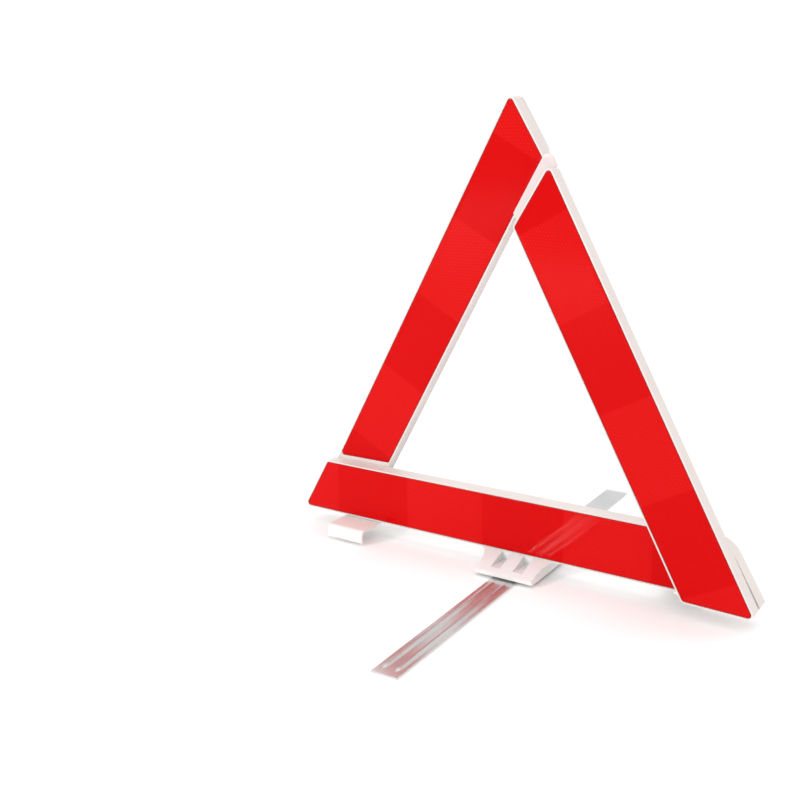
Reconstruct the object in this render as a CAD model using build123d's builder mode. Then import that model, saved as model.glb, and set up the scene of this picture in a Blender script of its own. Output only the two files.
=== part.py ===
from build123d import *
from math import cos, radians, sin
import os

# Folding warning triangle. X runs along the bottom arm, the reflectors face -Y and Z is up.
# The origin is on the ground, where the stand strip's swivel axis meets it.

# --- driving dimensions (mm, degrees) ---
PIVOT_SPAN = 347.4           # between neighbouring corner pivots
ARM_HALF = 25.05             # half width of an arm
ARM_DEPTH = 13.0             # depth of every arm's channel
SKIRT = 2.0                  # channel side walls
FACE = 2.0                   # channel front plate, behind the reflector recess
RIM = 1.2                    # white rim around a reflector
REFLECTOR_THICK = 1.6
REFLECTOR_GAP = 0.1          # reflector edge to rim
END_REACH = 27.4             # start end of an arm, beyond its pivot
REFLECTOR_STOP = 28.4        # hidden-end edge of a reflector, short of its pivot
CORNER_R = 4.0
TIP_R = 2.0                  # pointed side of an arm's hidden end
RIB = 1.6
RIB_SPACING = 57.9
RIB_COUNT = 6
RIB_SETBACK = 1.5            # rib edges below the channel's back edge

PIVOT_X = 173.7              # pivots from the triangle's middle
TRIANGLE_X = -11.0           # triangle's middle from the swivel axis
PIVOT_Z = 39.7               # lower pivots above the ground
ARM_GAP = 1.0                # between the bottom arm and each side arm, at the pivots
LEAN = 0.02333               # side arms lean towards each other by this slope
LEFT_ANGLE = 60.7            # side arms from the bottom arm, opened
RIGHT_ANGLE = 61.4
APEX_LAP = 0.3               # right arm's flange over the left arm's rim
FLANGE = 1.8
FLANGE_R = 5.0

RIVET_R = 3.0
RUNNING = 0.05               # radial clearance where a pin turns
BOSS_R = 8.0
WASHER_R = 7.0
HEAD_R = 5.5
HEAD = 1.6
WASHER = 0.6
TILT_SLIP = 0.2              # room where a washer meets a face that leans
HEAD_ROUND = 0.6
SLIP = 0.05                  # face clearance beside washers and heads
BOSS_DEPTH = 7.6             # pivot bosses from the front face

SOCKET_DEPTH = 8.0           # rivet sockets in the bosses
CATCH_DEPTH = 8.0            # catch housing behind the left arm's upper end
CATCH_TIP_R = 2.5

STRIP_LONG = 430.0
STRIP_WIDE = 22.0
STRIP_THICK = 1.5
STRIP_TURN = 1.1             # strip from square to the arm
BEAD_WIDE = 5.0
BEAD_HIGH = 1.0
BEAD_OFFSET = 5.4            # beads each side of the strip's middle
BEAD_START = 38.0            # from the swivel
FRONT_BEAD = 170.0           # bead lengths: nearly to the strip's front tip, less far behind
REAR_BEAD = 102.0
BEAD_TAPER = 30              # sides of a bead, degrees
BEAD_GROOVE = 2.6            # hollow under a bead
SWIVEL_R = 2.5
SWIVEL_HEAD_R = 4.2

BRACKET_TOP = 68.0
BRACKET_FOOT = 55.0
BRACKET_Y = 34.0             # half its depth at the foot
BRACKET_TOP_Y = 8.0
BRACKET_Z = 2.9
BRACKET_LIP = 3.2
BRACKET_WAIST = 27.0         # its side's flare, half way up
BRACKET_WAIST_Z = 9.8
BRACKET_WALL = 2.4
SCOOP_X = 10.5               # scoops in its slopes, each side of the middle
SCOOP_WIDE = 9.0
SCOOP_FRONT_Y = 28.0         # where a scoop runs out in the slope
SCOOP_BACK_Y = 7.0           # its end wall, by the arm
SCOOP_BACK_Z = 6.9
HOLLOW_SHALLOW = 1.8
HOLLOW_DEEP = 8.2
HOLLOW_DEEP_Y = 4.5
COUNTERBORE = 1.8
HUB_R = 9.0
HUB_Z = 2.15
SWIVEL_SINK = 0.2            # swivel rivet's upper head below the bracket's top
STRIP_COUNTERBORE = 0.85     # holds its lower head, flush with the strip's underside
SCREW_X = 20.5
SCREW_R = 1.5
SCREW_HEAD_R = 3.0
SCREW_SOCKET_R = 1.6
SOCKET_SHARE = 0.6           # socket depth in the head
SCREW_END_GAP = 0.5
BLOCK_WIDE = 9.0
BLOCK_DEEP = 8.0
BLOCK_Y = 1.0                # blocks inside the bottom arm that take screws and rivets
BLOCK_HIGH = 8.0
FIXING_HIGH = 7.0            # holes in those blocks, above the arm's underside

FOOT_X = 152.5               # feet's rivets from the triangle's middle
FOOT_WIDE = 38.0
FOOT_REACH = 34.0            # lip's face from the foot's rivet
FOOT_EAR_R = 6.4             # round ear that holds the rivet
FOOT_TOP = 13.8
FOOT_THICK = 2.2
FOOT_BOTTOM = 3.0
FOOT_BEND = 5.0
FOOT_CORNER = 2.0
FOOT_RIVET_R = 2.5
FOOT_HEAD_R = 5.0

ARM_BOTTOM = PIVOT_Z - ARM_HALF
FRONT_Y = -ARM_DEPTH / 2
BACK_Y = ARM_DEPTH / 2
LEFT_PIVOT_X = TRIANGLE_X - PIVOT_X
RIGHT_PIVOT_X = TRIANGLE_X + PIVOT_X
LEFT_FOOT_X = TRIANGLE_X - FOOT_X
RIGHT_FOOT_X = TRIANGLE_X + FOOT_X
FLOOR = REFLECTOR_THICK      # depth of the recess that holds a reflector
FACE_BACK = REFLECTOR_THICK + FACE

os.makedirs("parts", exist_ok=True)

# --- arm planes: origin at the hidden-end pivot on the front face, x towards the hidden end,
# y towards the inside of the triangle, z out of the front ---
bottom_plane = Plane(origin=(RIGHT_PIVOT_X, FRONT_Y, PIVOT_Z), x_dir=(1, 0, 0), z_dir=(0, -1, 0))

left_turn = radians(180 + LEFT_ANGLE)
left_plane = Plane(
    origin=(LEFT_PIVOT_X, BACK_Y + ARM_GAP, PIVOT_Z),
    x_dir=(cos(left_turn), 0, sin(left_turn)),
    z_dir=(0, -1, -LEAN),
)

right_turn = radians(180 - RIGHT_ANGLE)
right_hinge = Plane(
    origin=(RIGHT_PIVOT_X, FRONT_Y - ARM_GAP, PIVOT_Z),
    x_dir=(cos(right_turn), 0, sin(right_turn)),
    z_dir=(0, -1, LEAN),
)
right_plane = Plane(
    origin=right_hinge.origin + right_hinge.z_dir * ARM_DEPTH + right_hinge.x_dir * PIVOT_SPAN,
    x_dir=right_hinge.x_dir,
    z_dir=right_hinge.z_dir,
)


def start_x(reach, across):
    """Where a slanted start end, `reach` beyond its pivot, stands at `across` from the middle."""
    return -PIVOT_SPAN - (reach - across / 2) / cos(radians(30))


def stop_x(short, across):
    """Where a slanted end that stops `short` of the hidden-end pivot stands at `across`."""
    return -(short + across / 2) / cos(radians(30))


def arm_profile(half, reach):
    """Outline of an arm: slanted start end, and a hidden end rounded about its pivot."""
    tip = (2 * half * cos(radians(30)), -half)
    tangent = (half * cos(radians(30)), half * sin(radians(30)))
    with BuildSketch() as profile:
        with BuildLine():
            Polyline(
                (0, half),
                (start_x(reach, half), half),
                (start_x(reach, -half), -half),
                tip,
                tangent,
            )
            CenterArc((0, 0), half, 30, 60)
        make_face()
        ends = profile.vertices().sort_by(Axis.X)
        fillet(ends[:2], CORNER_R)
        fillet(profile.vertices().sort_by(Axis.X)[-1], TIP_R)
    return profile.sketch


def slanted_profile(half, reach, short, corner):
    """Trapezoid with both ends slanted, widest along the outer edge."""
    with BuildSketch() as profile:
        with BuildLine():
            Polyline(
                (start_x(reach, -half), -half),
                (stop_x(short, -half), -half),
                (stop_x(short, half), half),
                (start_x(reach, half), half),
                close=True,
            )
        make_face()
        fillet(profile.vertices(), corner)
    return profile.sketch


def reflector_profile(gap):
    """Outline of a reflector, drawn in from the rim by `gap`."""
    reach = END_REACH - RIM - gap
    return slanted_profile(ARM_HALF - RIM - gap, reach, REFLECTOR_STOP + gap, CORNER_R - RIM)


def cut_profile(inset):
    """Outline of the right arm, whose upper end stops below the left arm."""
    reach = END_REACH - inset
    return slanted_profile(ARM_HALF - inset, reach, REFLECTOR_STOP - RIM + inset, CORNER_R - inset)


def channel(plane, outer, inner, bosses):
    """Open-backed channel with cross ribs, pivot bosses and a recess for its reflector."""
    with BuildPart() as shell:
        with BuildSketch(plane):
            add(outer)
        extrude(amount=-ARM_DEPTH)
        with BuildSketch(plane.offset(-FACE_BACK)):
            add(inner)
        extrude(amount=FACE_BACK - ARM_DEPTH, mode=Mode.SUBTRACT)
        with BuildSketch(plane.offset(-FACE_BACK)):
            with Locations((-PIVOT_SPAN / 2, 0)):
                with GridLocations(RIB_SPACING, 0, RIB_COUNT, 1):
                    Rectangle(RIB, 2 * ARM_HALF - SKIRT)
            with Locations((-PIVOT_SPAN / 2, 0)):
                Rectangle(PIVOT_SPAN - 2 * BOSS_R, RIB)
            add(inner, mode=Mode.INTERSECT)
        extrude(amount=FACE_BACK - ARM_DEPTH + RIB_SETBACK)
        with BuildSketch(plane.offset(-FLOOR)):
            add(reflector_profile(0))
        extrude(amount=FLOOR, mode=Mode.SUBTRACT)
        for along, depth in bosses:
            with BuildSketch(plane.offset(-FACE_BACK)):
                with Locations((along, 0)):
                    Circle(BOSS_R + RIB)
            extrude(amount=FACE_BACK - ARM_DEPTH, mode=Mode.SUBTRACT)
            with BuildSketch(plane.offset(-FLOOR)):
                with Locations((along, 0)):
                    Circle(BOSS_R)
            extrude(amount=FLOOR - depth)
    return shell.part


def pin(plane, low, high, radius):
    """Cylinder along a plane's normal, from height `low` to `high`."""
    with BuildPart() as solid:
        with BuildSketch(plane.offset(low)):
            Circle(radius)
        extrude(amount=high - low)
    return solid.part


def ring(plane, low, high, outer, inner):
    """Washer along a plane's normal."""
    with BuildPart() as solid:
        with BuildSketch(plane.offset(low)):
            Circle(outer)
            Circle(inner, mode=Mode.SUBTRACT)
        extrude(amount=high - low)
    return solid.part


def finish(solid, label):
    """Label a piece and write it."""
    solid.label = label
    export_step(solid, f"parts/{label}.step")


full = arm_profile(ARM_HALF, END_REACH)
full_inside = arm_profile(ARM_HALF - SKIRT, END_REACH - SKIRT)
upright = Plane.XY

# the left arm turns on left_plane, its front face; the right arm on right_hinge, its back face
socket = ARM_GAP + SOCKET_DEPTH

# --- bottom arm ---
with BuildPart() as bottom_arm:
    add(channel(bottom_plane, full, full_inside, [(-PIVOT_SPAN, ARM_DEPTH), (0, BOSS_DEPTH)]))
    with BuildSketch(upright.offset(ARM_BOTTOM + SKIRT / 2)):
        with Locations([(along, BLOCK_Y) for along in (LEFT_FOOT_X, -SCREW_X, SCREW_X, RIGHT_FOOT_X)]):
            Rectangle(BLOCK_WIDE, BLOCK_DEEP)
    extrude(amount=BLOCK_HIGH)
    with BuildSketch(upright.offset(ARM_BOTTOM)):
        with Locations((-SCREW_X, 0), (SCREW_X, 0)):
            Circle(SCREW_R)
        with Locations((LEFT_FOOT_X, 0), (RIGHT_FOOT_X, 0)):
            Circle(FOOT_RIVET_R)
    extrude(amount=FIXING_HIGH, mode=Mode.SUBTRACT)
    add(pin(left_plane, 0, socket, RIVET_R), mode=Mode.SUBTRACT)
    add(pin(right_hinge, -ARM_DEPTH, 0, RIVET_R + RUNNING), mode=Mode.SUBTRACT)
finish(bottom_arm.part, "bottom_arm")

# --- left arm, with the catch housing behind its upper end ---
with BuildPart() as left_arm:
    add(channel(left_plane, full, full_inside, [(0, BOSS_DEPTH)]))
    for inset, low, high, mode in (
        (0, 0, CATCH_DEPTH, Mode.ADD),
        (SKIRT, -ARM_DEPTH + FACE_BACK, CATCH_DEPTH - SKIRT, Mode.SUBTRACT),
    ):
        half = ARM_HALF - inset
        with BuildSketch(left_plane.offset(-ARM_DEPTH - low)):
            with Locations((-PIVOT_SPAN, 0)):
                Circle(half)
            with BuildLine():
                Polyline(
                    (-PIVOT_SPAN, -half),
                    (-PIVOT_SPAN - 2 * half * cos(radians(30)), -half),
                    (-PIVOT_SPAN - half * cos(radians(30)), half / 2),
                    close=True,
                )
            make_face()
            fillet(vertices().sort_by(Axis.X)[0], CATCH_TIP_R)
        extrude(amount=low - high, mode=mode)
    add(pin(left_plane, -ARM_DEPTH, 0, RIVET_R + RUNNING), mode=Mode.SUBTRACT)
finish(left_arm.part, "left_arm")

# --- right arm, with the flange that laps the left arm's rim ---
def flange_x(across):
    """Where the flange's edge, parallel to the left arm's inner edge, stands at `across`."""
    lap = ARM_HALF - APEX_LAP
    slope = radians(LEFT_ANGLE + RIGHT_ANGLE)
    edge_x = PIVOT_SPAN * (cos(radians(RIGHT_ANGLE)) - 1) - lap * sin(slope)
    edge_y = PIVOT_SPAN * sin(radians(RIGHT_ANGLE)) + lap * cos(slope)
    return edge_x + (across - edge_y) * cos(slope) / sin(slope)


with BuildPart() as right_arm:
    add(channel(right_plane, cut_profile(0), cut_profile(SKIRT), [(-PIVOT_SPAN, ARM_DEPTH)]))
    stop = REFLECTOR_STOP - RIM + SKIRT
    with BuildSketch(right_plane.offset(-ARM_DEPTH)):
        with BuildLine():
            Polyline(
                (stop_x(stop, -ARM_HALF), -ARM_HALF),
                (flange_x(-ARM_HALF), -ARM_HALF),
                (flange_x(ARM_HALF), ARM_HALF),
                (stop_x(stop, ARM_HALF), ARM_HALF),
                close=True,
            )
        make_face()
        fillet(vertices().sort_by(Axis.X)[-1], FLANGE_R)
    extrude(amount=FLANGE)
    add(pin(right_hinge, 0, SOCKET_DEPTH, RIVET_R), mode=Mode.SUBTRACT)
finish(right_arm.part, "right_arm")

# --- reflectors ---
for plane, label in (
    (bottom_plane, "bottom_reflector"),
    (left_plane, "left_reflector"),
    (right_plane, "right_reflector"),
):
    with BuildPart() as reflector:
        with BuildSketch(plane.offset(-FLOOR)):
            add(reflector_profile(REFLECTOR_GAP))
        extrude(amount=REFLECTOR_THICK - REFLECTOR_GAP)
    finish(reflector.part, label)

# --- pivots: rivet, washer between the arms, end washer under the head ---
left_head = -BOSS_DEPTH - SLIP - WASHER - SLIP
right_head = -ARM_GAP - BOSS_DEPTH - TILT_SLIP - WASHER - SLIP
for hinge, side, tail, head, washer_gap in (
    (left_plane, "left", socket, left_head, ARM_GAP),
    (right_hinge, "right", SOCKET_DEPTH, right_head, -ARM_GAP),
):
    with BuildPart() as pivot_rivet:
        add(pin(hinge, head, tail, RIVET_R))
        add(pin(hinge, head - HEAD, head, HEAD_R))
        fillet(pivot_rivet.edges().filter_by(GeomType.CIRCLE).group_by(SortBy.RADIUS)[-1], HEAD_ROUND)
    finish(pivot_rivet.part, f"{side}_pivot_rivet")
    middle = washer_gap / 2
    washer = ring(hinge, middle - WASHER / 2, middle + WASHER / 2, WASHER_R, RIVET_R + RUNNING)
    finish(washer, f"{side}_pivot_washer")
    end_washer = ring(hinge, head + SLIP, head + SLIP + WASHER, WASHER_R, RIVET_R + RUNNING)
    finish(end_washer, f"{side}_end_washer")

# --- stand bracket: a saddle under the bottom arm, hollow below, with a hub for the swivel ---
def slope_z(away):
    """Height of the bracket's slope at a distance from the arm's middle plane."""
    low = BRACKET_Z + BRACKET_LIP
    return low + (ARM_BOTTOM - low) * (BRACKET_Y - away) / (BRACKET_Y - BRACKET_TOP_Y)


with BuildPart() as stand_bracket:
    with BuildSketch(Plane.XZ):
        with BuildLine():
            right = ThreePointArc(
                (BRACKET_FOOT / 2, BRACKET_Z),
                (BRACKET_WAIST, BRACKET_WAIST_Z),
                (BRACKET_TOP / 2, ARM_BOTTOM),
            )
            left = ThreePointArc(
                (-BRACKET_TOP / 2, ARM_BOTTOM),
                (-BRACKET_WAIST, BRACKET_WAIST_Z),
                (-BRACKET_FOOT / 2, BRACKET_Z),
            )
            Line(left @ 1, right @ 0)
            Line(right @ 1, left @ 0)
        make_face()
    extrude(amount=BRACKET_Y, both=True)
    with BuildSketch(Plane.YZ):
        with BuildLine():
            Polyline(
                (-BRACKET_Y, BRACKET_Z),
                (-BRACKET_Y, BRACKET_Z + BRACKET_LIP),
                (-BRACKET_TOP_Y, ARM_BOTTOM),
                (BRACKET_TOP_Y, ARM_BOTTOM),
                (BRACKET_Y, BRACKET_Z + BRACKET_LIP),
                (BRACKET_Y, BRACKET_Z),
                close=True,
            )
        make_face()
    extrude(amount=BRACKET_TOP / 2, both=True, mode=Mode.INTERSECT)
    # scoops in each slope, deepest by the arm
    for middle in (-SCOOP_X, SCOOP_X):
        with BuildSketch(Plane.YZ.offset(middle)):
            for side in (-1, 1):
                with BuildLine():
                    Polyline(
                        (side * SCOOP_FRONT_Y, slope_z(SCOOP_FRONT_Y)),
                        (side * SCOOP_BACK_Y, SCOOP_BACK_Z),
                        (side * SCOOP_BACK_Y, 2 * ARM_BOTTOM),
                        (side * SCOOP_FRONT_Y, 2 * ARM_BOTTOM),
                        close=True,
                    )
                make_face()
        extrude(amount=SCOOP_WIDE / 2, both=True, mode=Mode.SUBTRACT)
    # hollow underside: shallow to the ends, deep under the arm
    with BuildSketch(upright.offset(BRACKET_Z)):
        Rectangle(BRACKET_FOOT - 2 * BRACKET_WALL, 2 * (BRACKET_Y - BRACKET_WALL))
    extrude(amount=HOLLOW_SHALLOW, mode=Mode.SUBTRACT)
    with BuildSketch(upright.offset(BRACKET_Z)):
        Rectangle(BRACKET_FOOT - 2 * BRACKET_WALL, 2 * HOLLOW_DEEP_Y)
    extrude(amount=HOLLOW_DEEP, mode=Mode.SUBTRACT)
    add(pin(upright, HUB_Z, ARM_BOTTOM - SLIP, HUB_R))
    with BuildSketch(upright.offset(ARM_BOTTOM - COUNTERBORE)):
        Circle(SWIVEL_HEAD_R + RUNNING)
    extrude(amount=COUNTERBORE, mode=Mode.SUBTRACT)
    add(pin(upright, 0, ARM_BOTTOM, SWIVEL_R), mode=Mode.SUBTRACT)
    with BuildSketch(upright):
        with Locations((-SCREW_X, 0), (SCREW_X, 0)):
            Circle(SCREW_R)
    extrude(amount=ARM_BOTTOM, mode=Mode.SUBTRACT)
finish(stand_bracket.part, "stand_bracket")

# --- bracket screws ---
screw_seat = BRACKET_Z + HOLLOW_DEEP
with BuildPart() as bracket_screws:
    with BuildSketch(upright.offset(screw_seat - HEAD)):
        with Locations((-SCREW_X, 0), (SCREW_X, 0)):
            Circle(SCREW_HEAD_R)
    extrude(amount=HEAD)
    with BuildSketch(upright.offset(screw_seat)):
        with Locations((-SCREW_X, 0), (SCREW_X, 0)):
            Circle(SCREW_R)
    extrude(amount=ARM_BOTTOM + FIXING_HIGH - SCREW_END_GAP - screw_seat)
    with BuildSketch(upright.offset(screw_seat - HEAD)):
        with Locations((-SCREW_X, 0), (SCREW_X, 0)):
            RegularPolygon(SCREW_SOCKET_R, 6)
    extrude(amount=HEAD * SOCKET_SHARE, mode=Mode.SUBTRACT)
finish(bracket_screws.part, "bracket_screws")

# --- stand strip: two pressed beads on each half ---
strip_plane = Plane.XY.rotated((0, 0, STRIP_TURN))


def beads(width):
    """Four rounded slots, two along each half of the strip."""
    for long, side in ((FRONT_BEAD, -1), (REAR_BEAD, 1)):
        with Locations((0, side * (BEAD_START + long / 2))):
            with GridLocations(2 * BEAD_OFFSET, 0, 2, 1):
                SlotOverall(long, width, rotation=90)


with BuildPart() as stand_strip:
    with BuildSketch(strip_plane):
        Rectangle(STRIP_WIDE, STRIP_LONG)
    extrude(amount=STRIP_THICK)
    with BuildSketch(strip_plane.offset(STRIP_THICK)):
        beads(BEAD_WIDE)
    extrude(amount=BEAD_HIGH, taper=BEAD_TAPER)
    with BuildSketch(strip_plane):
        beads(BEAD_GROOVE)
    extrude(amount=BEAD_HIGH, mode=Mode.SUBTRACT)
    add(pin(upright, 0, STRIP_THICK, SWIVEL_R + RUNNING), mode=Mode.SUBTRACT)
    add(pin(upright, 0, STRIP_COUNTERBORE, SWIVEL_HEAD_R + RUNNING), mode=Mode.SUBTRACT)
finish(stand_strip.part, "stand_strip")

# --- swivel rivet and washer ---
with BuildPart() as swivel_rivet:
    add(pin(upright, 0, STRIP_COUNTERBORE - SLIP, SWIVEL_HEAD_R))
    add(pin(upright, 0, ARM_BOTTOM - SWIVEL_SINK, SWIVEL_R))
    add(pin(upright, ARM_BOTTOM - COUNTERBORE, ARM_BOTTOM - SWIVEL_SINK, SWIVEL_HEAD_R))
finish(swivel_rivet.part, "swivel_rivet")
finish(ring(upright, STRIP_THICK + SLIP, HUB_Z - SLIP, HUB_R, SWIVEL_R + RUNNING), "swivel_washer")

# --- feet: bent tabs that turn on rivets under the bottom arm ---
left_foot_plane = Plane(origin=(LEFT_FOOT_X, 0, 0), x_dir=(1, 0, 0), z_dir=(0, 0, 1))
right_foot_plane = Plane(origin=(RIGHT_FOOT_X, 0, 0), x_dir=(-1, 0, 0), z_dir=(0, 0, 1))
plate_under = FOOT_TOP - FOOT_THICK
for plane, side in ((left_foot_plane, "left"), (right_foot_plane, "right")):
    profile_plane = Plane(origin=plane.origin, x_dir=-plane.y_dir, z_dir=-plane.x_dir)
    with BuildPart() as foot:
        with BuildSketch(profile_plane):
            with BuildLine():
                top = Line((0, FOOT_TOP), (FOOT_REACH - FOOT_BEND, FOOT_TOP))
                bend = RadiusArc(top @ 1, (FOOT_REACH, FOOT_TOP - FOOT_BEND), FOOT_BEND)
                lip = Line(bend @ 1, (FOOT_REACH, FOOT_BOTTOM))
                inner_lip = Line(lip @ 1, (FOOT_REACH - FOOT_THICK, FOOT_BOTTOM))
                inner_up = Line(inner_lip @ 1, (FOOT_REACH - FOOT_THICK, FOOT_TOP - FOOT_BEND))
                inner_bend = RadiusArc(
                    inner_up @ 1,
                    (FOOT_REACH - FOOT_BEND, FOOT_TOP - FOOT_THICK),
                    -(FOOT_BEND - FOOT_THICK),
                )
                under = Line(inner_bend @ 1, (0, FOOT_TOP - FOOT_THICK))
                Line(under @ 1, top @ 0)
            make_face()
        extrude(amount=FOOT_WIDE / 2, both=True)
        fillet(foot.edges().filter_by(Axis.Z).group_by(SortBy.LENGTH)[0], FOOT_CORNER)
        add(pin(plane, plate_under, FOOT_TOP, FOOT_EAR_R))
        add(pin(plane, 0, FOOT_TOP, FOOT_RIVET_R + RUNNING), mode=Mode.SUBTRACT)
    finish(foot.part, f"{side}_foot")
    with BuildPart() as foot_rivet:
        add(pin(plane, plate_under - SLIP, ARM_BOTTOM + FIXING_HIGH - SCREW_END_GAP, FOOT_RIVET_R))
        add(pin(plane, plate_under - SLIP - HEAD, plate_under - SLIP, FOOT_HEAD_R))
        fillet(foot_rivet.edges().filter_by(GeomType.CIRCLE).group_by(SortBy.RADIUS)[-1], HEAD_ROUND)
    finish(foot_rivet.part, f"{side}_foot_rivet")

with BuildPart() as foot_washers:
    with BuildSketch(upright.offset(FOOT_TOP + SLIP)):
        with Locations((LEFT_FOOT_X, 0), (RIGHT_FOOT_X, 0)):
            Circle(FOOT_HEAD_R)
            Circle(FOOT_RIVET_R + RUNNING, mode=Mode.SUBTRACT)
    extrude(amount=ARM_BOTTOM - FOOT_TOP - 2 * SLIP)
finish(foot_washers.part, "foot_washers")
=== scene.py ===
from math import cos, hypot, pi, radians, sin

import bmesh
import bpy
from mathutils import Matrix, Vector


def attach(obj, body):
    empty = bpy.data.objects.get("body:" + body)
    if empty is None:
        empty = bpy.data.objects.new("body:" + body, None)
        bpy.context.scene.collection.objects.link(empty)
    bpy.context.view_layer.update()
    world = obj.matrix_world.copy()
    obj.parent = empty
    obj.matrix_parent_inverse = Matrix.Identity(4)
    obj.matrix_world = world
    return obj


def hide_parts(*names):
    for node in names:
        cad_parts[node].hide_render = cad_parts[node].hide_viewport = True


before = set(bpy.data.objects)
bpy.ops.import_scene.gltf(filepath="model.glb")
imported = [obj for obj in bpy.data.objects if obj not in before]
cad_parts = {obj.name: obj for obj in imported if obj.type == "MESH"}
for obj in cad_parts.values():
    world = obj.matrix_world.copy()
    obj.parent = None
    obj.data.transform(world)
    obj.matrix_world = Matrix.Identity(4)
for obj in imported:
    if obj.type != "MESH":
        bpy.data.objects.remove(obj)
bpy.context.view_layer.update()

# --- sizes in metres, angles in degrees ---
MM = 0.001
STRIP_WIDE = 22 * MM
STRIP_LONG = 430 * MM
STRIP_TURN = 1.1             # strip from square to the arm
STRIP_SHEET = 1.4 * MM       # steel thickness
STRIP_COLUMNS = 56           # mesh faces across the strip
STRIP_ROW = 6 * MM           # mesh faces' length along the plain parts of the strip
STRIP_CREASE = 40            # faces that meet at more than this are shaded sharp
BEAD_OFFSET = 5.4 * MM       # bead's middle from the strip's middle
BEAD_HALF = 2.7 * MM
BEAD_HIGH = 0.95 * MM
BEAD_HOLLOW = 0.85           # depth of the hollow under a bead, in bead heights
BEAD_START = 38 * MM         # from the swivel
BEAD_RAMP = 7 * MM           # length over which a bead rises at its ends
BEAD_RAMP_ROWS = 8           # mesh faces along that length
FRONT_BEAD = 170 * MM        # bead lengths: nearly to the front tip, less far behind
REAR_BEAD = 102 * MM
RIVET_HOLE = 4.5 * MM        # round hole at the swivel, clear of the rivet's lower head
LENS_BEVEL = 0.6 * MM        # radius of a lens's rounded edge
LENS_BEVEL_STEPS = 4
LENS_CREASE = 35             # faces that meet at more than this are shaded sharp
LENS_BORDER = 2.6 * MM       # plain edge around the prisms
LENS_SINK = 0.12 * MM        # prism field below the border
PRISM_PITCH = 3.0 * MM
PRISM_ROW = cos(radians(30))  # row spacing of the hexagonal prism field, in pitches
DOT_CORE = 0.16              # radius of a dot's full strength, in pitches
DOT_REACH = 0.34             # radius where a dot has faded out, in pitches
ZONE_LONG = 77 * MM          # length of one prism zone along an arm; dotted and smooth alternate
ARM_ROUND = 0.3 * MM         # edge rounding of the moulded pieces
STAND_ROUND = 0.4 * MM
ROUND_ABOVE = 35             # only edges that turn by more than this are rounded
FLOOR_HALF = 40.0

CAMERA_SPOT = (0.41325, -0.79432, 0.39767)
CAMERA_TURN = (74.533, 1.094, 33.697)
CAMERA_LENS = 50.438         # mm
CAMERA_SENSOR = 36           # mm

# lights: place, aim, size of the lit rectangle, watts
LIGHTS = {
    "key": ((-1.15, -2.15, 0.9), (0, 0, 0.05), (0.46, 0.36), 23),
    "top": ((0.2, 0.6, 2.4), (0, 0, 0.1), (1.6, 1.6), 8),
}
WORLD_STRENGTH = 1.06

# white plastics: the cooler and the warmer tone that drift into each other
# the arm tones hold a painted pink cast that stands in for red light from the lenses
ARM_WHITE = ((0.60, 0.52, 0.51), (0.64, 0.57, 0.55))
STAND_WHITE = ((0.72, 0.735, 0.735), (0.76, 0.765, 0.76))

ARM_NODES = ("bottom_arm", "left_arm", "right_arm")
STAND_NODES = ("stand_bracket", "left_foot", "right_foot")
ZINC_NODES = (
    "left_pivot_rivet", "right_pivot_rivet", "left_pivot_washer", "right_pivot_washer",
    "left_end_washer", "right_end_washer", "swivel_rivet", "swivel_washer",
    "bracket_screws", "left_foot_rivet", "right_foot_rivet", "foot_washers",
)
# lenses: CAD node, body, direction of its start end, distance from that end to the start of one
# of its dotted zones
LENSES = {
    "bottom_lens": ("bottom_reflector", "base", (-1, 0, 0), 114 * MM),
    "left_lens": ("left_reflector", "left_arm", (0, 0, 1), 107 * MM),
    "right_lens": ("right_reflector", "right_arm", (0, 0, -1), 104 * MM),
}


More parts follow.
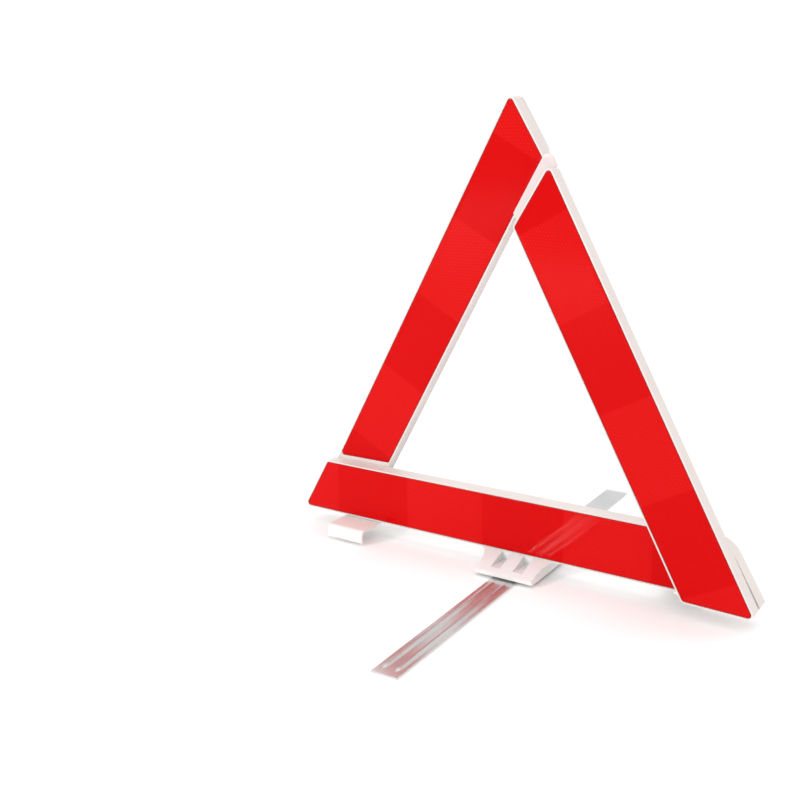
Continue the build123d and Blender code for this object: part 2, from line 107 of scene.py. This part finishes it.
# --- node helpers ---
class Graph:
    """Small helper for building a material's nodes."""

    def __init__(self, name):
        self.material = bpy.data.materials.new(name)
        self.material.use_nodes = True
        self.tree = self.material.node_tree
        self.shader = self.tree.nodes["Principled BSDF"]

    def node(self, kind, **settings):
        made = self.tree.nodes.new(kind)
        for key, value in settings.items():
            setattr(made, key, value)
        return made

    def link(self, source, target):
        self.tree.links.new(source, target)

    def math(self, operation, first, second=None):
        made = self.node("ShaderNodeMath", operation=operation)
        for socket, value in zip(made.inputs, (first, second)):
            if value is None:
                continue
            if isinstance(value, (int, float)):
                socket.default_value = value
            else:
                self.link(value, socket)
        return made.outputs[0]

    def position(self):
        return self.node("ShaderNodeTexCoord").outputs["Object"]

    def noise(self, vector, scale, detail=4.0, rough=0.55):
        made = self.node("ShaderNodeTexNoise")
        made.inputs["Scale"].default_value = scale
        made.inputs["Detail"].default_value = detail
        made.inputs["Roughness"].default_value = rough
        self.link(vector, made.inputs["Vector"])
        return made.outputs["Fac"]

    def stretch(self, vector, scale):
        made = self.node("ShaderNodeMapping")
        made.inputs["Scale"].default_value = scale
        self.link(vector, made.inputs["Vector"])
        return made.outputs["Vector"]

    def ramp(self, factor, low, high, first, last):
        made = self.node("ShaderNodeMapRange", clamp=True)
        ends = {"From Min": low, "From Max": high, "To Min": first, "To Max": last}
        for name, value in ends.items():
            made.inputs[name].default_value = value
        self.link(factor, made.inputs["Value"])
        return made.outputs["Result"]

    def blend(self, factor, first, second):
        made = self.node("ShaderNodeMix", data_type="RGBA")
        self.link(factor, made.inputs["Factor"])
        for socket, value in ((made.inputs["A"], first), (made.inputs["B"], second)):
            if isinstance(value, tuple):
                socket.default_value = (*value, 1)
            else:
                self.link(value, socket)
        return made.outputs["Result"]

    def edges(self, low=0.52, high=0.62):
        """1 on convex edges, 0 on flats."""
        point = self.node("ShaderNodeNewGeometry").outputs["Pointiness"]
        return self.ramp(point, low, high, 0.0, 1.0)

    def bump(self, height, strength, distance, under=None):
        made = self.node("ShaderNodeBump")
        made.inputs["Strength"].default_value = strength
        made.inputs["Distance"].default_value = distance
        self.link(height, made.inputs["Height"])
        if under is not None:
            self.link(under, made.inputs["Normal"])
        return made.outputs["Normal"]

    def set(self, **values):
        for name, value in values.items():
            socket = self.shader.inputs[name.replace("_", " ").title().replace("Ior", "IOR")]
            socket.default_value = (*value, 1) if isinstance(value, tuple) else value


def white_plastic(name, cool, warm):
    """Satin moulded plastic: fine spark-eroded grain, faint flow marks, painted highlight on convex
    edges.
    """
    g = Graph(name)
    where = g.position()
    cloud = g.noise(where, 18)
    flow = g.noise(g.stretch(where, (30, 30, 6)), 1.0, 3)
    tone = g.blend(g.ramp(cloud, 0.38, 0.62, 0, 1), cool, warm)
    # painted highlight: convex edges lightened halfway towards a warm white
    edge_highlight = (0.82, 0.75, 0.70)
    tone = g.blend(g.math("MULTIPLY", g.edges(), 0.5), tone, edge_highlight)
    g.link(tone, g.shader.inputs["Base Color"])
    g.link(g.ramp(flow, 0.3, 0.7, 0.30, 0.44), g.shader.inputs["Roughness"])
    grain = g.bump(g.noise(where, 2600, 2), 0.12, 0.00006)
    g.link(g.bump(flow, 0.10, 0.0003, grain), g.shader.inputs["Normal"])
    g.set(ior=1.49, subsurface_weight=0.12, subsurface_scale=0.004)
    g.shader.inputs["Subsurface Radius"].default_value = (1.0, 0.7, 0.6)
    return g.material


def prisms(g, along, across):
    """Distance to the nearest dot's middle, in pitches, from two arm coordinates.

    The dots form a hexagonal field: two rectangular sets, the second half a step off both ways.
    """
    column = g.math("DIVIDE", along, PRISM_PITCH)
    row = g.math("DIVIDE", across, PRISM_PITCH * PRISM_ROW)
    distances = []
    for shift in (0.0, 0.5):
        x = g.math("SUBTRACT", g.math("FRACT", g.math("ADD", column, shift)), 0.5)
        y = g.math("MULTIPLY", g.math("ADD", row, 2 * shift), 0.5)
        y = g.math("SUBTRACT", g.math("FRACT", y), 0.5)
        y = g.math("MULTIPLY", y, 2 * PRISM_ROW)
        squares = g.math("ADD", g.math("MULTIPLY", x, x), g.math("MULTIPLY", y, y))
        distances.append(g.math("SQRT", squares))
    return g.math("MINIMUM", *distances)


def red_lens(name, origin, along_axis, across_axis, zone_start):
    """Clear red prismatic lens: smooth gloss over alternating prism zones."""
    g = Graph(name)
    where = g.node("ShaderNodeVectorMath", operation="SUBTRACT")
    g.link(g.position(), where.inputs[0])
    where.inputs[1].default_value = origin
    coordinates = []
    for axis in (along_axis, across_axis):
        dot = g.node("ShaderNodeVectorMath", operation="DOT_PRODUCT")
        g.link(where.outputs[0], dot.inputs[0])
        dot.inputs[1].default_value = axis
        coordinates.append(dot.outputs["Value"])
    along, across = coordinates
    dots = g.ramp(prisms(g, along, across), DOT_CORE, DOT_REACH, 1.0, 0.0)
    past = g.math("SUBTRACT", along, zone_start)
    cycle = g.math("FRACT", g.math("DIVIDE", past, 2 * ZONE_LONG))
    dotted = g.math("LESS_THAN", cycle, 0.5)  # 1 in a dotted zone, 0 in a smooth one
    patchy = g.ramp(g.noise(where.outputs[0], 14, 2), 0.35, 0.65, 0.25, 1.0)
    strength = g.math("MULTIPLY", patchy, g.ramp(dotted, 0, 1, 0.12, 0.8))
    shown = g.math("MULTIPLY", dots, strength)
    smooth_red = (0.545, 0.0006, 0.0010)
    dotted_red = (0.575, 0.003, 0.003)
    dot_red = (0.66, 0.010, 0.010)
    base = g.blend(dotted, smooth_red, dotted_red)
    base = g.blend(shown, base, dot_red)
    g.link(base, g.shader.inputs["Base Color"])
    g.link(g.ramp(shown, 0, 1, 0.07, 0.12), g.shader.inputs["Roughness"])
    g.link(g.bump(dots, 0.10, 0.00008), g.shader.inputs["Normal"])
    g.set(ior=1.5, specular_ior_level=0.07)
    return g.material


def lens_edge():
    """The lens's side and rounded edge, dark partly because no prism lies behind it and partly as
    painted shade of the gap round the lens.
    """
    g = Graph("lens_edge_red")
    where = g.position()
    # dark red: partly painted shade of the gap round the lens
    tone = g.blend(g.noise(where, 60), (0.22, 0.0008, 0.002), (0.32, 0.002, 0.003))
    g.link(tone, g.shader.inputs["Base Color"])
    g.link(g.ramp(g.noise(where, 300), 0.3, 0.7, 0.10, 0.25), g.shader.inputs["Roughness"])
    g.link(g.bump(g.noise(where, 900), 0.06, 0.00005), g.shader.inputs["Normal"])
    g.set(ior=1.5, specular_ior_level=0.3)
    return g.material


def bright_steel():
    """Rolled strip steel under a thin pale haze: lengthwise lines, smudges, lighter convex edges."""
    g = Graph("bright_steel")
    where = g.position()
    lines = g.noise(g.stretch(where, (2600, 14, 2600)), 1.0, 3)
    smudge = g.noise(where, 35)
    tone = g.blend(g.ramp(smudge, 0.35, 0.7, 0, 1), (0.58, 0.59, 0.58), (0.51, 0.52, 0.52))
    # lighter towards a pale grey on convex edges
    tone = g.blend(g.edges(), tone, (0.70, 0.70, 0.70))
    g.link(tone, g.shader.inputs["Base Color"])
    rolled = g.ramp(lines, 0.3, 0.7, 0.20, 0.27)
    smudged = g.ramp(smudge, 0.4, 0.75, 0.0, 0.05)
    g.link(g.math("ADD", rolled, smudged), g.shader.inputs["Roughness"])
    g.link(g.bump(lines, 0.10, 0.00004), g.shader.inputs["Normal"])
    g.set(metallic=0.75)
    return g.material


def zinc():
    """Zinc plated fasteners: spangled grey, lighter on convex edges."""
    g = Graph("zinc")
    where = g.position()
    cells = g.node("ShaderNodeTexVoronoi")
    cells.inputs["Scale"].default_value = 420
    g.link(where, cells.inputs["Vector"])
    tone = g.blend(cells.outputs["Distance"], (0.50, 0.51, 0.52), (0.68, 0.68, 0.67))
    tone = g.blend(g.edges(), tone, (0.82, 0.82, 0.80))
    g.link(tone, g.shader.inputs["Base Color"])
    g.link(g.ramp(g.noise(where, 300), 0.3, 0.7, 0.28, 0.42), g.shader.inputs["Roughness"])
    g.link(g.bump(g.noise(where, 900), 0.1, 0.00005), g.shader.inputs["Normal"])
    g.set(metallic=1.0)
    return g.material


def pale_floor():
    """Matt, almost white stage floor."""
    g = Graph("pale_floor")
    soft = g.noise(g.position(), 3, 2)
    tone = g.blend(soft, (0.94, 0.94, 0.94), (0.96, 0.96, 0.96))
    g.link(tone, g.shader.inputs["Base Color"])
    g.link(g.bump(g.noise(g.position(), 400, 2), 0.05, 0.0004), g.shader.inputs["Normal"])
    g.set(roughness=0.9, specular_ior_level=0.0)
    return g.material


def paint(nodes, material):
    """Puts the material on every slot of the CAD nodes."""
    for name in nodes:
        mesh_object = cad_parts[name]
        for slot in mesh_object.material_slots:
            slot.material = material


def soften(nodes, width):
    """Rounds the hard edges of moulded pieces a little."""
    for name in nodes:
        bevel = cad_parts[name].modifiers.new("edge_round", "BEVEL")
        bevel.width = width
        bevel.segments = 2
        bevel.limit_method = "ANGLE"
        bevel.angle_limit = radians(ROUND_ABOVE)


def new_piece(name, mesh, materials, body):
    """A finer mesh that rides a CAD body, with the given materials."""
    piece = bpy.data.objects.new(name, mesh)
    bpy.context.collection.objects.link(piece)
    for material in materials:
        mesh.materials.append(material)
    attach(piece, body)
    return piece


def smooth_by_angle(mesh, limit):
    """Smooth shading, sharp where faces meet at more than `limit` degrees."""
    mesh.polygons.foreach_set("use_smooth", [True] * len(mesh.polygons))
    mesh.update()
    work = bmesh.new()
    work.from_mesh(mesh)
    for edge in work.edges:
        if len(edge.link_faces) == 2 and edge.calc_face_angle() > radians(limit):
            edge.smooth = False
    work.to_mesh(mesh)
    work.free()


# --- reflectors: the CAD outline, with a rounded edge, a plain border and a sunk prism field ---
def front_loop(mesh, normal):
    """The outline of a flat plate's front face, in order."""
    work = bmesh.new()
    work.from_mesh(mesh)
    bmesh.ops.remove_doubles(work, verts=work.verts, dist=1e-6)
    faces = [f for f in work.faces if f.normal.dot(normal) > 0.99]
    edges = [e for f in faces for e in f.edges if sum(near in faces for near in e.link_faces) == 1]
    following = {}
    for edge in edges:
        for vert in edge.verts:
            following.setdefault(vert, []).append(edge)
    first = edges[0].verts[0]
    loop = [first]
    edge = edges[0]
    while True:
        vert = edge.other_vert(loop[-1])
        if vert is first:
            break
        loop.append(vert)
        edge = [e for e in following[vert] if e is not edge][0]
    points = [v.co.copy() for v in loop]
    work.free()
    return points


def facing(mesh):
    """Front normal of a plate whose front looks towards -Y."""
    big = max(mesh.polygons, key=lambda p: p.area * (p.normal.y < -0.9))
    return Vector(big.normal)


def inset_loop(points, normal, distance):
    """The loop drawn in by `distance`, mitred at its corners; a mitre reaches twice that at most."""
    moved = []
    count = len(points)
    middle = sum(points, Vector()) / count
    for i, point in enumerate(points):
        before = (point - points[i - 1]).normalized()
        after = (points[(i + 1) % count] - point).normalized()
        side_a = normal.cross(before)
        side_b = normal.cross(after)
        if side_a.dot(middle - point) < 0:
            side_a = -side_a
            side_b = -side_b
        mitre = (side_a + side_b).normalized()
        moved.append(point + mitre * distance / max(mitre.dot(side_a), 0.5))
    return moved


def lens_mesh(name, node):
    """A lens on a reflector's outline. Its side and rounded edge take material slot 1, the rest 0."""
    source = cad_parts[node].data
    normal = facing(source)
    outline = front_loop(source, normal)
    thick = max((outline[0] - v.co).dot(normal) for v in source.vertices)
    rings = [(0, thick)]         # each ring's distance in from the outline and down from the front
    for i in range(LENS_BEVEL_STEPS + 1):
        turn = radians(90) * i / LENS_BEVEL_STEPS
        rings.append((LENS_BEVEL * (1 - cos(turn)), LENS_BEVEL * (1 - sin(turn))))
    dark_bands = len(rings) - 1
    rings.append((LENS_BORDER, 0))
    rings.append((LENS_BORDER + LENS_SINK, LENS_SINK))
    work = bmesh.new()
    loops = []
    for inward, down in rings:
        ring = inset_loop(outline, normal, inward)
        loops.append([work.verts.new(p - normal * down) for p in ring])
    for band, (lower, upper) in enumerate(zip(loops, loops[1:])):
        for i in range(len(outline)):
            j = (i + 1) % len(outline)
            face = work.faces.new((lower[i], lower[j], upper[j], upper[i]))
            face.material_index = int(band < dark_bands)
    work.faces.new(loops[-1])
    work.faces.new(loops[0][::-1])
    bmesh.ops.recalc_face_normals(work, faces=work.faces)
    bmesh.ops.triangulate(work, faces=[f for f in work.faces if len(f.verts) > 4])
    mesh = bpy.data.meshes.new(name)
    work.to_mesh(mesh)
    work.free()
    smooth_by_angle(mesh, LENS_CREASE)
    return mesh, normal, outline


def make_lens(name, node, body, start, zone_start, edge_material):
    """A red lens in a reflector's place, its pattern measured from the end that `start` points to."""
    mesh, normal, outline = lens_mesh(name, node)
    count = len(outline)
    sides = [(outline[(i + 1) % count] - outline[i]) for i in range(count)]
    along = max(sides, key=lambda side: side.length).normalized()
    if along.dot(Vector(start)) > 0:
        along = -along
    across = normal.cross(along)
    corner = min(outline, key=lambda p: p.dot(along))
    material = red_lens(f"{name}_red", corner, along, across, zone_start)
    piece = new_piece(name, mesh, (material, edge_material), body)
    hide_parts(node)


# --- stand strip: one pressed steel sheet with two beads on each half ---
def bead_height(x, y):
    """Height of the pressed beads at a point of the strip, in the strip's own axes."""
    across = abs(abs(x) - BEAD_OFFSET) / BEAD_HALF
    if across >= 1:
        return 0.0
    long = FRONT_BEAD if y < 0 else REAR_BEAD
    inner = abs(y) - BEAD_START
    outer = BEAD_START + long - abs(y)
    end = min(inner, outer) / BEAD_RAMP
    if end <= 0:
        return 0.0
    rounding = 1.0 if end >= 1 else sin(end * pi / 2)
    width = across / max(rounding, 1e-6)
    if width >= 1:
        return 0.0
    return BEAD_HIGH * rounding * 0.5 * (1 + cos(pi * width))


def strip_rows():
    """Row positions along the strip: close together where beads rise, none in the swivel's square."""
    half = STRIP_LONG / 2
    square = STRIP_WIDE / 2
    steps = int((half - square) / STRIP_ROW)
    rows = [side * (square + k * STRIP_ROW) for k in range(steps + 1) for side in (-1, 1)]
    rows += [-half, half]
    for side, long in ((-1, FRONT_BEAD), (1, REAR_BEAD)):
        for start in (BEAD_START, BEAD_START + long - BEAD_RAMP):
            ramp = (start + BEAD_RAMP * i / BEAD_RAMP_ROWS for i in range(BEAD_RAMP_ROWS + 1))
            rows += [side * y for y in ramp]
    return sorted({round(y, 6) for y in rows})


def spot(x, y):
    """A strip vertex's key in its sheet: its place to a thousandth of a millimetre."""
    return round(x, 6), round(y, 6)


def swivel_square(work, columns, sheets, place):
    """The square about the swivel: two sheets and the wall of a round hole between them."""
    half = STRIP_WIDE / 2
    border = [(x, -half) for x in columns]
    border += [(half, y) for y in columns[1:]]
    border += [(x, half) for x in reversed(columns[:-1])]
    border += [(-half, y) for y in reversed(columns[1:-1])]
    rings = []
    for level, sheet in enumerate(sheets):
        outer = []
        inner = []
        for x, y in border:
            reach = hypot(x, y)
            z = STRIP_SHEET * (1 - level)
            outer.append(sheet.get(spot(x, y)) or work.verts.new(place(x, y, z)))
            inner.append(work.verts.new(place(x * RIVET_HOLE / reach, y * RIVET_HOLE / reach, z)))
        rings.append((outer, inner))
    (top_outer, top_inner), (low_outer, low_inner) = rings
    for i in range(len(border)):
        j = (i + 1) % len(border)
        work.faces.new((top_outer[i], top_outer[j], top_inner[j], top_inner[i]))
        work.faces.new((low_outer[j], low_outer[i], low_inner[i], low_inner[j]))
        work.faces.new((top_inner[i], top_inner[j], low_inner[j], low_inner[i]))
        if abs(border[i][0]) == half and border[i][0] == border[j][0]:
            work.faces.new((top_outer[j], top_outer[i], low_outer[i], low_outer[j]))


def strip_mesh():
    """The pressed strip: an upper and a lower sheet, joined at the rim and round the swivel's hole."""
    half = STRIP_WIDE / 2
    columns = [-half + STRIP_WIDE * i / STRIP_COLUMNS for i in range(STRIP_COLUMNS + 1)]
    rows = strip_rows()
    turn = radians(STRIP_TURN)

    def place(x, y, z):
        return (x * cos(turn) - y * sin(turn), x * sin(turn) + y * cos(turn), z)

    work = bmesh.new()
    sheets = []
    for under in (False, True):
        sheet = {}
        for y in rows:
            for x in columns:
                z = bead_height(x, y)
                z = z * BEAD_HOLLOW if under else z + STRIP_SHEET
                sheet[spot(x, y)] = work.verts.new(place(x, y, z))
        sheets.append(sheet)
    top, bottom = sheets
    keys = [round(x, 6) for x in columns]
    for near, far in zip(rows, rows[1:]):
        if near < 0 < far:       # the swivel's square, made below
            continue
        for left, right in zip(keys, keys[1:]):
            corners = [(left, near), (right, near), (right, far), (left, far)]
            work.faces.new([top[c] for c in corners])
            work.faces.new([bottom[c] for c in reversed(corners)])
        for x in (keys[0], keys[-1]):
            work.faces.new((top[x, near], top[x, far], bottom[x, far], bottom[x, near]))
    for y in (rows[0], rows[-1]):
        for left, right in zip(keys, keys[1:]):
            work.faces.new((top[left, y], bottom[left, y], bottom[right, y], top[right, y]))
    swivel_square(work, columns, sheets, place)
    bmesh.ops.recalc_face_normals(work, faces=work.faces)
    mesh = bpy.data.meshes.new("pressed_strip")
    work.to_mesh(mesh)
    work.free()
    smooth_by_angle(mesh, STRIP_CREASE)
    return mesh


# --- stage: floor, lights, camera ---
def make_floor(material):
    mesh = bpy.data.meshes.new("floor")
    corners = [(-FLOOR_HALF, -FLOOR_HALF, 0), (FLOOR_HALF, -FLOOR_HALF, 0),
               (FLOOR_HALF, FLOOR_HALF, 0), (-FLOOR_HALF, FLOOR_HALF, 0)]
    mesh.from_pydata(corners, [], [(0, 1, 2, 3)])
    floor = bpy.data.objects.new("floor", mesh)
    mesh.materials.append(material)
    bpy.context.collection.objects.link(floor)


def make_light(name, place, aim, size, power):
    light = bpy.data.lights.new(name, "AREA")
    light.shape = "RECTANGLE"
    light.size, light.size_y = size
    light.energy = power
    lamp = bpy.data.objects.new(name, light)
    lamp.location = place
    lamp.rotation_euler = (Vector(aim) - Vector(place)).to_track_quat("-Z", "Y").to_euler()
    bpy.context.collection.objects.link(lamp)


def make_camera():
    camera_data = bpy.data.cameras.new("camera")
    camera_data.lens = CAMERA_LENS
    camera_data.sensor_width = CAMERA_SENSOR
    camera = bpy.data.objects.new("camera", camera_data)
    camera.location = CAMERA_SPOT
    camera.rotation_euler = [radians(a) for a in CAMERA_TURN]
    bpy.context.collection.objects.link(camera)
    bpy.context.scene.camera = camera


def make_world():
    world = bpy.data.worlds.new("studio")
    world.use_nodes = True
    background = world.node_tree.nodes["Background"]
    background.inputs["Color"].default_value = (1, 1, 1, 1)
    background.inputs["Strength"].default_value = WORLD_STRENGTH
    bpy.context.scene.world = world
    bpy.context.scene.view_settings.view_transform = "Standard"


# --- the model ---
paint(ARM_NODES, white_plastic("arm_plastic", *ARM_WHITE))
paint(STAND_NODES, white_plastic("stand_plastic", *STAND_WHITE))
paint(ZINC_NODES, zinc())
soften(ARM_NODES, ARM_ROUND)
soften(STAND_NODES, STAND_ROUND)
# dark red for the lenses' sides and rounded edges, partly painted shade
dark_edge = lens_edge()
for lens_name, settings in LENSES.items():
    make_lens(lens_name, *settings, dark_edge)
strip = new_piece("pressed_strip", strip_mesh(), (bright_steel(),), "strip")
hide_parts("stand_strip")

# --- the stage ---
make_world()
make_floor(pale_floor())
for light_name, settings in LIGHTS.items():
    make_light(light_name, *settings)
make_camera()
